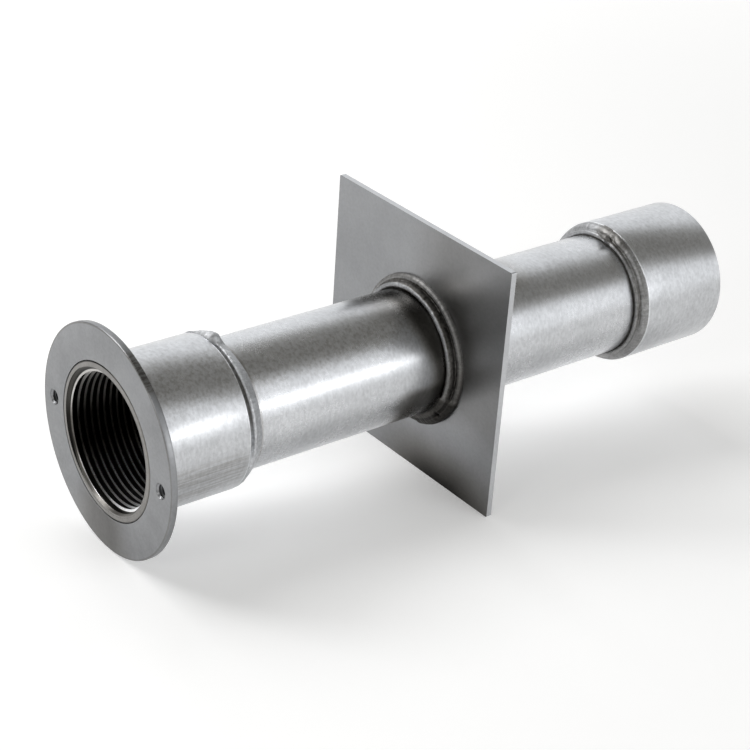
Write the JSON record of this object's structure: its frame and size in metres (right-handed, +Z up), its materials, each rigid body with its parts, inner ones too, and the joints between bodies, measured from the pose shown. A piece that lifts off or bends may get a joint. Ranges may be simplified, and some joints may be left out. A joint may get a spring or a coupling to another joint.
{
  "type": "wall sleeve pipe",
  "caption": "Welded stainless wall sleeve: a pipe between threaded sockets, with a flush flange ring at the front and a square water-stop plate at mid-length.",
  "frame": {"origin": "centre of the flange's front face, on the pipe's axis", "axes": "+Y along the pipe from the flange to the rear socket, +Z up, square to the water-stop plate's top edge"},
  "size_m": [0.0894, 0.24, 0.0896],
  "materials": {
    "flange_steel": "satin stainless, pickled, with faint darker mottling",
    "socket_steel": "turned and pickled stainless with fine streaks round it",
    "pipe_steel": "drawn and pickled stainless, soft mottling",
    "plate_steel": "satin sheet stainless, cut edges brighter",
    "weld_metal": "cleaned weld bead, rippled, darker at the toes"
  },
  "bodies": {
    "root": {"front_flange": "flange_steel", "front_socket": "socket_steel", "pipe": "pipe_steel", "wall_plate": "plate_steel", "rear_socket": "socket_steel", "flange_weld": "weld_metal", "front_socket_weld": "weld_metal", "plate_front_weld": "weld_metal", "plate_back_weld": "weld_metal", "rear_socket_weld": "weld_metal"}
  },
  "joints": []
}
